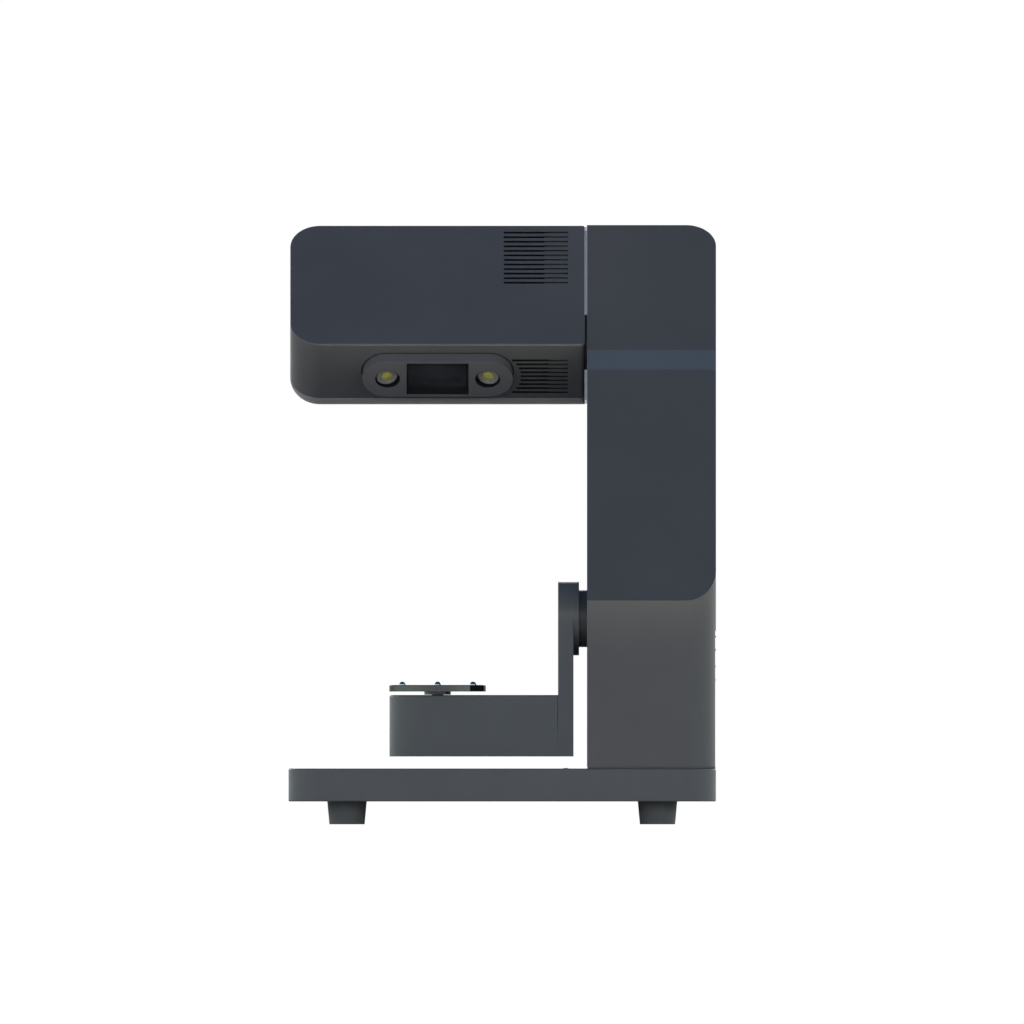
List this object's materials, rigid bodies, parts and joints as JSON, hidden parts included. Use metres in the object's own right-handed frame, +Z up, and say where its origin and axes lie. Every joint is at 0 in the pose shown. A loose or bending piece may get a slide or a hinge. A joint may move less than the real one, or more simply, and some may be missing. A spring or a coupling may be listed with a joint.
{
  "type": "desktop 3d scanner",
  "caption": "Bench scanner: flat base on feet, leaning column, tilted camera head over a motorised turntable carried by a swinging L-shaped arm.",
  "frame": {"origin": "centre of the footprint at floor level, under the feet", "axes": "+X towards the side that the column stands on, -Y is the front, +Z is up"},
  "size_m": [0.285, 0.3, 0.3995],
  "materials": {
    "base_shell": "satin",
    "cover_plate": "matte",
    "rubber": "matte",
    "column_shell": "satin",
    "rear_panels": "satin",
    "accent": "satin",
    "side_panel": "satin",
    "head_shell": "satin",
    "head_tray": "satin",
    "bezel": "satin",
    "window_glass": "gloss",
    "lens_metal": "satin",
    "lens_coating": "gloss",
    "arm_shell": "satin",
    "arm_cover": "matte",
    "turntable_metal": "satin",
    "balls": "polished",
    "neck_metal": "satin",
    "screw_steel": "satin",
    "black_plastic": "satin",
    "port_metal": "satin",
    "button_metal": "satin",
    "circuit_board": "satin",
    "plate_steel": "satin",
    "frame_aluminium": "satin",
    "bearing_steel": "polished",
    "shaft_steel": "polished",
    "gear_steel": "satin",
    "pinion_brass": "satin",
    "motor_case": "satin",
    "motor_can": "satin",
    "optics_black": "satin"
  },
  "bodies": {
    "housing": {"base_plate": "base_shell", "base_bottom_cover": "cover_plate", "base_screws": "screw_steel", "home_sensor": "black_plastic", "foot_front_left": "rubber", "foot_front_right": "rubber", "foot_rear_left": "rubber", "foot_rear_right": "rubber", "column_gasket": "rubber", "column_lower_housing": "column_shell", "column_upper_housing": "column_shell", "accent_band": "accent", "column_service_cover": "rear_panels", "column_back_panel": "rear_panels", "column_screws": "screw_steel", "side_panel": "side_panel", "side_panel_screws": "screw_steel", "dc_inlet": "black_plastic", "usb_port": "port_metal", "power_switch": "black_plastic", "control_board": "circuit_board", "column_frame": "plate_steel", "drive_bracket": "plate_steel", "swing_bearing_housing": "frame_aluminium", "swing_bearings": "bearing_steel", "swing_motor": "motor_case", "neck": "neck_metal", "head_front_cover": "head_shell", "head_rear_cover": "head_tray", "head_cover_screws": "screw_steel", "optics_frame": "frame_aluminium", "optics_bezel": "bezel", "projector_window": "window_glass", "projector": "optics_black", "camera_left": "optics_black", "camera_right": "optics_black", "lens_barrels": "lens_metal", "lens_glasses": "lens_coating", "fan_frame": "black_plastic"},
    "arm": {"swing_gear": "gear_steel", "swing_shaft": "shaft_steel", "swing_flange": "arm_shell", "swing_disc": "arm_shell", "arm_post": "arm_shell", "arm_block": "arm_shell", "arm_bottom_cover": "arm_cover", "arm_cover_screws": "screw_steel", "turntable_motor": "motor_can", "turntable_motor_bracket": "plate_steel", "spindle_housing": "frame_aluminium", "turntable_bearings": "bearing_steel"},
    "turntable": {"turntable_spindle": "shaft_steel", "turntable_gear": "gear_steel", "turntable_disc": "turntable_metal", "turntable_screws": "screw_steel", "locating_balls": "balls"},
    "swing_motor_pinion": {"swing_pinion": "pinion_brass"},
    "turntable_motor_pinion": {"turntable_pinion": "pinion_brass"},
    "fan_wheel": {"fan_rotor": "black_plastic"},
    "button": {"power_button": "button_metal"}
  },
  "joints": [
    {"name": "arm_swing", "type": "hinge", "parent": "housing", "child": "arm", "pos_m": [0, -0.117, 0.1371], "axis": [1, 0, 0], "range_deg": [-60, 60]},
    {"name": "swing_pinion_spin", "type": "hinge", "parent": "housing", "child": "swing_motor_pinion", "pos_m": [0.087, -0.084, 0.1371], "axis": [1, 0, 0], "range_deg": [-190, 190]},
    {"name": "turntable_spin", "type": "hinge", "parent": "arm", "child": "turntable", "pos_m": [-0.0431, -0.117, 0.0885], "axis": [0, 0, 1], "continuous": true},
    {"name": "turntable_pinion_spin", "type": "hinge", "parent": "arm", "child": "turntable_motor_pinion", "pos_m": [-0.0159, -0.117, 0.056], "axis": [0, 0, 1], "continuous": true},
    {"name": "fan_spin", "type": "hinge", "parent": "housing", "child": "fan_wheel", "pos_m": [0.0078, 0.08432, 0.37221], "axis": [0, -0.7071, 0.7071], "continuous": true},
    {"name": "power_button_press", "type": "slide", "parent": "housing", "child": "button", "axis": [-1, 0, 0], "range_m": [0, 0.0012], "stiffness_N_per_m": 200, "springref_m": -0.002}
  ],
  "couplings": [
    {"joint": "swing_pinion_spin", "follows": "arm_swing", "ratio": -3.125},
    {"joint": "turntable_pinion_spin", "follows": "turntable_spin", "ratio": -2.4}
  ]
}
